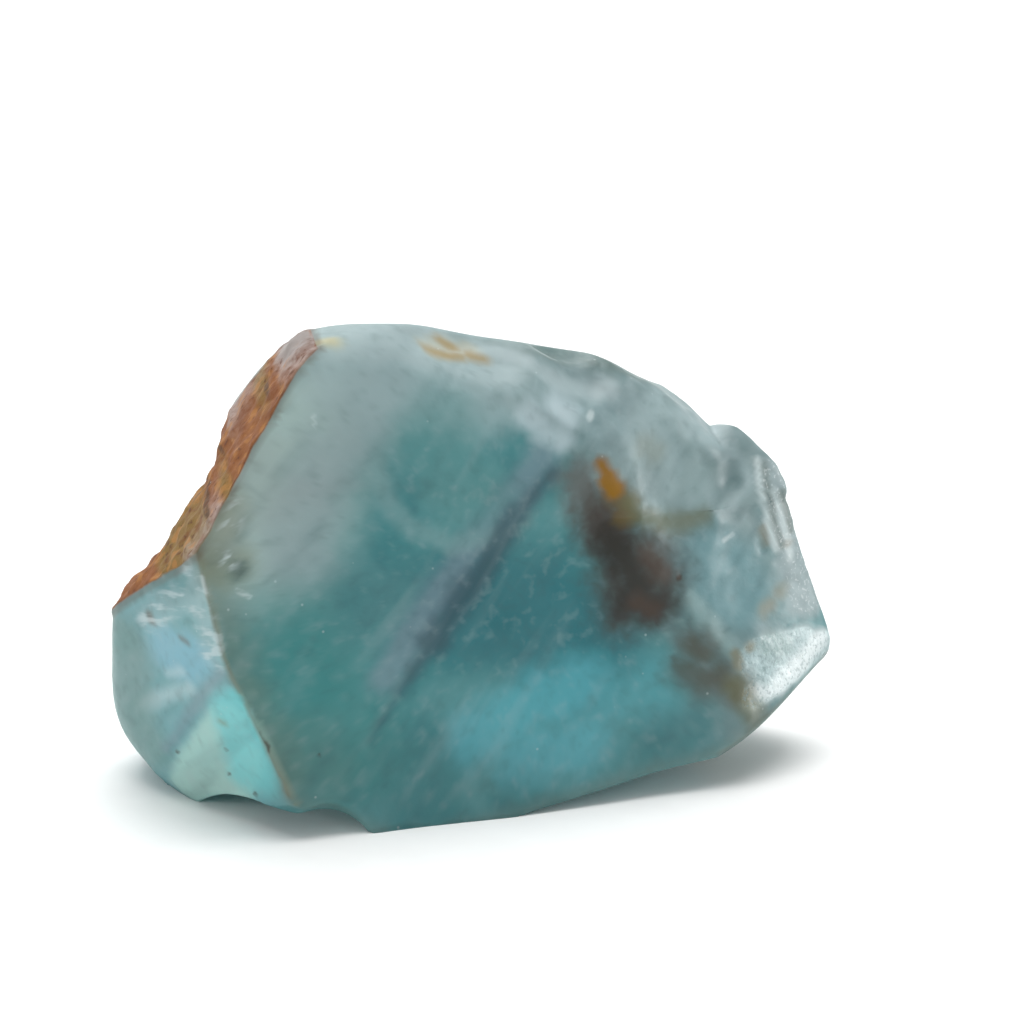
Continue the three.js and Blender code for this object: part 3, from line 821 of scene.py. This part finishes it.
def relieved(mesh, finish):
    """The mesh with its relief raised, as a plain mesh."""
    carrier = bpy.data.objects.new("stone in the making", mesh)
    bpy.context.scene.collection.objects.link(carrier)
    tree = relief_tree()
    modifier = carrier.modifiers.new("relief", "NODES")
    modifier.node_group = tree
    values = {**RELIEF, "Finish": finish}
    for item in tree.interface.items_tree:
        if item.in_out == "INPUT" and item.name in values:
            modifier[item.identifier] = values[item.name]
    seen = carrier.evaluated_get(bpy.context.evaluated_depsgraph_get())
    plain = bpy.data.meshes.new_from_object(seen)
    carrier.modifiers.remove(modifier)
    bpy.data.objects.remove(carrier)
    return plain


# ---- Finish --------------------------------------------------------------

# How softly the finish changes round each mark.
FINISH_FADE = {"crust rim": 0.4, "crust": 0.12, "end facet": 0.2, "lobe": 0.2, "flank": 0.6,
               "crackle": 0.9, "plateau": 1.5}
# Rust in darker and paler patches with small pits, white feathers in the crackle, painted glints as white
# sparks and grey dents where the crystal is etched, and pale specks everywhere.
FINISH_LAYERS = {
    "crust": (("rust", 0.48, 0.68, 0.6, "#623416"), ("rust", 0.46, 0.34, 0.6, "#9a6a34"),
              ("grain", 0.62, 0.7, 0.7, "#4a2d1c")),
    "crackle": (("feathers", 0.47, 0.66, 0.6, "#eaf6f8"),),
    # painted glints: white sparks where the crystal is etched
    "etched": (("etching", 0.56, 0.68, 0.35, "#f4fafa"),),
    "end facet": (("etching", 0.48, 0.36, 0.5, "#83989a"),),
}
SPECK_LAYERS = (("specks", 0.07, 0.02, 0.35, "#e6f0f0"),)
SPECK_SPACING = 1.6
PAINTED_GLINTS_ON_END = 0.25

# Fluorite's own IOR. The colour that it lets through is blue-green.
IOR = 1.434
ABSORBED = (0.30, 0.80, 0.82, 1.0)
ABSORPTION = 70.0
# How much of the light goes into the crystal, how much more into the lobe, and the share of it that
# the etched end keeps out. The crust keeps out all of it.
CLEAR = 0.32
CLEARER_LOBE = 0.2
CLOUDIER_END = 0.6
# The roughness at the grain noise's low and high levels, and what each surface adds to it.
SATIN = (0.36, 0.46)
SATIN_GRAIN = (0.3, 0.7)
ROUGHER = {"crust": 0.35, "plateau": 0.3, "end facet": -0.1}
# The bump's strength, what the crust and the etched surfaces add to it, how much etching goes with
# the grain, and the bump's depth.
BUMP = 0.08
CRUST_BUMP = 0.6
ETCHED_BUMP = 0.25
ETCHING_SHARE = 0.6
BUMP_DEPTH = 0.1


def fluorite():
    """Raw fluorite: cloudy, broken crystal, satin on its cleavage and frosted where etched. Light
    enters it and comes back blue-green, and its thin edges look brighter than its body."""
    material = bpy.data.materials.new("raw fluorite crystal")
    material.use_nodes = True
    tree = material.node_tree
    tree.nodes.clear()
    place = add(tree, "ShaderNodeTexCoord", out="Object")
    in_mm = add(tree, "ShaderNodeVectorMath", {0: place, "Scale": 1 / MM}, operation="SCALE")
    values = patterns(tree, in_mm, ("grain", "etching", "rust", "feathers"))
    values["specks"] = add(tree, "ShaderNodeTexVoronoi", {"Vector": in_mm, "Scale": 1 / SPECK_SPACING},
                           "Distance")
    on = {name: inside(tree, name, fade) for name, fade in FINISH_FADE.items()}
    off_rim = add(tree, "ShaderNodeMath", (1.0, on["crust rim"]), operation="SUBTRACT")
    on["crust"] = add(tree, "ShaderNodeMath", (on["crust"], off_rim), **TIMES)
    # painted glints over the whole flank, and weaker over the end facet
    some_end = add(tree, "ShaderNodeMath", (on["end facet"], PAINTED_GLINTS_ON_END), **TIMES)
    on["etched"] = add(tree, "ShaderNodeMath", (some_end, on["flank"]), operation="MAXIMUM")

    colour = add(tree, "ShaderNodeAttribute", out="Color", attribute_name="tint")
    colour = painted(tree, colour, CRISP_MARKS, values, "grain")
    for name, layers in FINISH_LAYERS.items():
        colour = layered(tree, colour, values, layers, on[name])
    colour = layered(tree, colour, values, SPECK_LAYERS)

    let_in = add(tree, "ShaderNodeMath", (on["lobe"], CLEARER_LOBE, CLEAR), **TIMES_PLUS)
    kept_out = add(tree, "ShaderNodeMath", (on["end facet"], CLOUDIER_END, on["crust"]), **TIMES_PLUS)
    clear = add(tree, "ShaderNodeMath", (1.0, kept_out), operation="SUBTRACT")
    clear = add(tree, "ShaderNodeMath", (let_in, clear), **TIMES)
    rough = add(tree, "ShaderNodeMapRange", (values["grain"], *SATIN_GRAIN, *SATIN), **SMOOTH)
    for name, change in ROUGHER.items():
        rough = add(tree, "ShaderNodeMath", (on[name], change, rough), **TIMES_PLUS)
    height = (values["etching"], ETCHING_SHARE, values["grain"])
    height = add(tree, "ShaderNodeMath", height, **TIMES_PLUS)
    frosted = add(tree, "ShaderNodeMath", (on["end facet"], on["crackle"]), operation="MAXIMUM")
    force = add(tree, "ShaderNodeMath", (on["crust"], CRUST_BUMP, BUMP), **TIMES_PLUS)
    force = add(tree, "ShaderNodeMath", (frosted, ETCHED_BUMP, force), **TIMES_PLUS)
    bump = add(tree, "ShaderNodeBump", {"Height": height, "Strength": force, "Distance": BUMP_DEPTH * MM})
    surface = add(tree, "ShaderNodeBsdfPrincipled", {
        "Base Color": colour, "Roughness": rough, "IOR": IOR, "Transmission Weight": clear,
        "Normal": bump})
    within = add(tree, "ShaderNodeVolumeAbsorption", {"Color": ABSORBED, "Density": ABSORPTION})
    add(tree, "ShaderNodeOutputMaterial", {"Surface": surface, "Volume": within})
    return material


# ---- The piece -----------------------------------------------------------

SHARP_ANGLE = math.radians(38)

surface_mesh, level = fine_mesh(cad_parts["raw_fluorite"])
store_marks(surface_mesh, level)
stone_mesh = relieved(surface_mesh, fluorite())
stone_mesh.name = "raw fluorite stone"
stone_mesh.shade_smooth()
stone_mesh.set_sharp_from_angle(angle=SHARP_ANGLE)
stone = bpy.data.objects.new("raw_fluorite_stone", stone_mesh)
bpy.context.scene.collection.objects.link(stone)
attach(stone, "root")
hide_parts("raw_fluorite")

# ---- Studio --------------------------------------------------------------

# The card on the floor: its colours, its roughness and the width of its fibres.
CARD_COLOURS = ("#f1f1f0", "#f6f6f5")
CARD_ROUGHNESS = 0.9
FIBRE = 2.5

# Each light: its place in metres, its width in metres, its power in watts and its colour.
LIGHTS = {
    "overhead softbox": ((0.0, 0.12, 0.62), 0.6, 4.5, "#ffffff"),
    "rear softbox": ((-0.15, 0.65, 0.35), 0.5, 1.8, "#fbfdff"),
    "right softbox": ((0.49, 0.09, 0.085), 0.16, 0.85, "#ffffff"),
    "left softbox": ((-0.5, -0.17, 0.06), 0.3, 1.7, "#ffffff"),
}
LIT_POINT = Vector((0, 0, 0.012))
AIR_COLOUR = "#f4f7f8"
AIR_STRENGTH = 0.44

# The camera's target, its distance from there in metres, its rise above level, and its lens.
CAMERA_TARGET = Vector((2.3, -1.3, 16.4)) * MM
CAMERA_REACH = 0.33
CAMERA_RISE = math.radians(18)
CAMERA_LENS = 197.3
CAMERA_SENSOR = 36


def white_card():
    """Matt white card, pressed from fibre, which gives soft light back from below."""
    material = bpy.data.materials.new("matt white card")
    material.use_nodes = True
    tree = material.node_tree
    tree.nodes.clear()
    place = add(tree, "ShaderNodeTexCoord", out="Object")
    fibre = add(tree, "ShaderNodeTexNoise", {"Vector": place, "Scale": 1 / (FIBRE * MM)})
    darker, paler = (linear(code) for code in CARD_COLOURS)
    tone = add(tree, "ShaderNodeMix", {0: fibre, 6: darker, 7: paler}, 2, data_type="RGBA")
    surface = add(tree, "ShaderNodeBsdfPrincipled", {"Base Color": tone, "Roughness": CARD_ROUGHNESS})
    add(tree, "ShaderNodeOutputMaterial", {"Surface": surface})
    return material


def floor_sheet(half):
    """A square of white card, with half its width in metres."""
    form = bmesh.new()
    bmesh.ops.create_grid(form, x_segments=1, y_segments=1, size=half)
    mesh = bpy.data.meshes.new("floor")
    form.to_mesh(mesh)
    form.free()
    mesh.materials.append(white_card())
    sheet = bpy.data.objects.new("floor", mesh)
    bpy.context.scene.collection.objects.link(sheet)
    return sheet


floor_sheet(3.0)
for name, (at, size, power, colour) in LIGHTS.items():
    lamp = bpy.data.lights.new(name, "AREA")
    lamp.shape = "SQUARE"
    lamp.size = size
    lamp.energy = power
    lamp.color = linear(colour)[:3]
    light = bpy.data.objects.new(name, lamp)
    light.location = at
    light.rotation_euler = (LIT_POINT - Vector(at)).to_track_quat("-Z", "Y").to_euler()
    bpy.context.scene.collection.objects.link(light)

world = bpy.data.worlds.new("studio air")
world.use_nodes = True
world.node_tree.nodes["Background"].inputs["Color"].default_value = linear(AIR_COLOUR)
world.node_tree.nodes["Background"].inputs["Strength"].default_value = AIR_STRENGTH
bpy.context.scene.world = world
bpy.context.scene.view_settings.view_transform = "Standard"

lens = bpy.data.cameras.new("camera")
lens.sensor_width = CAMERA_SENSOR
lens.lens = CAMERA_LENS
camera = bpy.data.objects.new("camera", lens)
away = Vector((0, -math.cos(CAMERA_RISE), math.sin(CAMERA_RISE)))
camera.location = CAMERA_TARGET + CAMERA_REACH * away
camera.rotation_euler = (math.pi / 2 - CAMERA_RISE, 0, 0)
bpy.context.scene.collection.objects.link(camera)
bpy.context.scene.camera = camera
